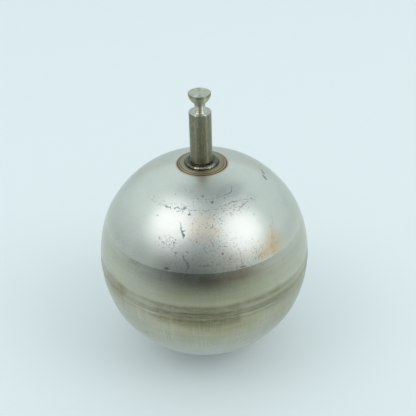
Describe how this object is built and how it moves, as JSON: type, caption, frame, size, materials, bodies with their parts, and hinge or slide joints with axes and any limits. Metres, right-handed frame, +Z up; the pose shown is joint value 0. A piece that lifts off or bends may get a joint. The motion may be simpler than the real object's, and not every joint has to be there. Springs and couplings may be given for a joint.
{
  "type": "float ball",
  "caption": "Hollow stainless steel float ball with a welded girth seam and a short round stem that ends in a grooved mushroom head.",
  "frame": {"origin": "lowest point of the ball, on the stem's axis", "axes": "+Z up along the stem, from the ball to the head; the part is round about Z"},
  "size_m": [0.0992, 0.0992, 0.134],
  "materials": {
    "shell_steel": "satin sheet, fine scratches and specks",
    "girth_weld_steel": "dressed weld with olive heat tint",
    "stem_steel": "matte bar, turned bright at the neck",
    "stem_weld_steel": "dark glossy weld bead"
  },
  "bodies": {
    "root": {"upper_shell": "shell_steel", "lower_shell": "shell_steel", "girth_weld": "girth_weld_steel", "stem": "stem_steel", "stem_weld": "stem_weld_steel"}
  },
  "joints": []
}
